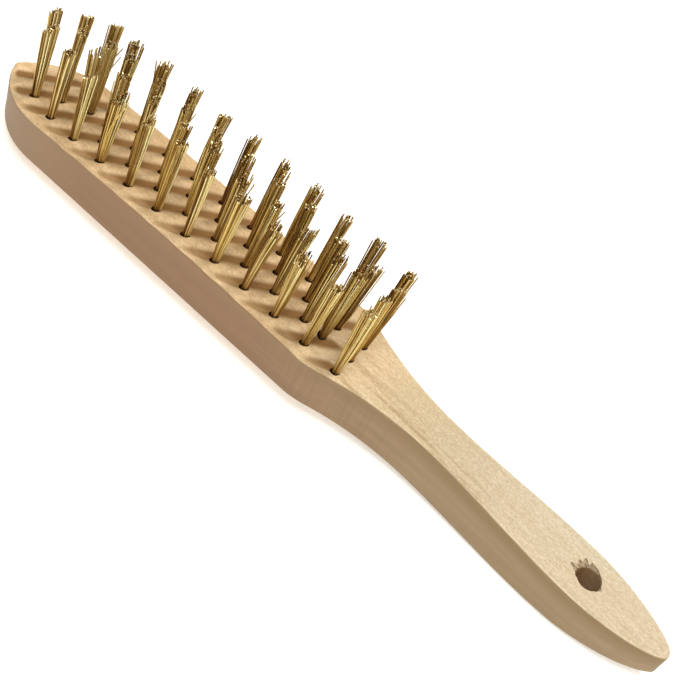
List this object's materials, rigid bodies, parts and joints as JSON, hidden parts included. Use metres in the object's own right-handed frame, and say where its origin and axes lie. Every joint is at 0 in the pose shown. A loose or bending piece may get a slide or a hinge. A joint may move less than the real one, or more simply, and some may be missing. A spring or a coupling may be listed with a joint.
{
  "type": "wire brush",
  "caption": "Hand-held wire scratch brush: pointed beech body with a curved handle and hanging hole, and slanted rows of brass wire tufts.",
  "frame": {"origin": "middle of the bounding box in X and Y, at the height of the lowest point of the brush lying on its back", "axes": "+X from the pointed nose to the end of the handle, +Y across the head, +Z the way the wires point"},
  "size_m": [0.27, 0.0324, 0.0527],
  "materials": {
    "beech_wood": "sanded, unvarnished pale beech",
    "brass_wire": "drawn bright brass wire, cut ends"
  },
  "bodies": {
    "root": {"wooden_body": "beech_wood", "wire_tuft_row_a_01": "brass_wire", "wire_tuft_row_a_02": "brass_wire", "wire_tuft_row_a_03": "brass_wire", "wire_tuft_row_a_04": "brass_wire", "wire_tuft_row_a_05": "brass_wire", "wire_tuft_row_a_06": "brass_wire", "wire_tuft_row_a_07": "brass_wire", "wire_tuft_row_a_08": "brass_wire", "wire_tuft_row_a_09": "brass_wire", "wire_tuft_row_a_10": "brass_wire", "wire_tuft_row_a_11": "brass_wire", "wire_tuft_row_a_12": "brass_wire", "wire_tuft_row_b_01": "brass_wire", "wire_tuft_row_b_02": "brass_wire", "wire_tuft_row_b_03": "brass_wire", "wire_tuft_row_b_04": "brass_wire", "wire_tuft_row_b_05": "brass_wire", "wire_tuft_row_b_06": "brass_wire", "wire_tuft_row_b_07": "brass_wire", "wire_tuft_row_b_08": "brass_wire", "wire_tuft_row_b_09": "brass_wire", "wire_tuft_row_b_10": "brass_wire", "wire_tuft_row_b_11": "brass_wire", "wire_tuft_row_b_12": "brass_wire", "wire_tuft_row_c_01": "brass_wire", "wire_tuft_row_c_02": "brass_wire", "wire_tuft_row_c_03": "brass_wire", "wire_tuft_row_c_04": "brass_wire", "wire_tuft_row_c_05": "brass_wire", "wire_tuft_row_c_06": "brass_wire", "wire_tuft_row_c_07": "brass_wire", "wire_tuft_row_c_08": "brass_wire", "wire_tuft_row_c_09": "brass_wire", "wire_tuft_row_c_10": "brass_wire", "wire_tuft_row_c_11": "brass_wire", "wire_tuft_row_c_12": "brass_wire", "wire_tuft_row_d_01": "brass_wire", "wire_tuft_row_d_02": "brass_wire", "wire_tuft_row_d_03": "brass_wire", "wire_tuft_row_d_04": "brass_wire", "wire_tuft_row_d_05": "brass_wire", "wire_tuft_row_d_06": "brass_wire", "wire_tuft_row_d_07": "brass_wire", "wire_tuft_row_d_08": "brass_wire", "wire_tuft_row_d_09": "brass_wire", "wire_tuft_row_d_10": "brass_wire", "wire_tuft_row_d_11": "brass_wire", "wire_tuft_row_d_12": "brass_wire"}
  },
  "joints": []
}
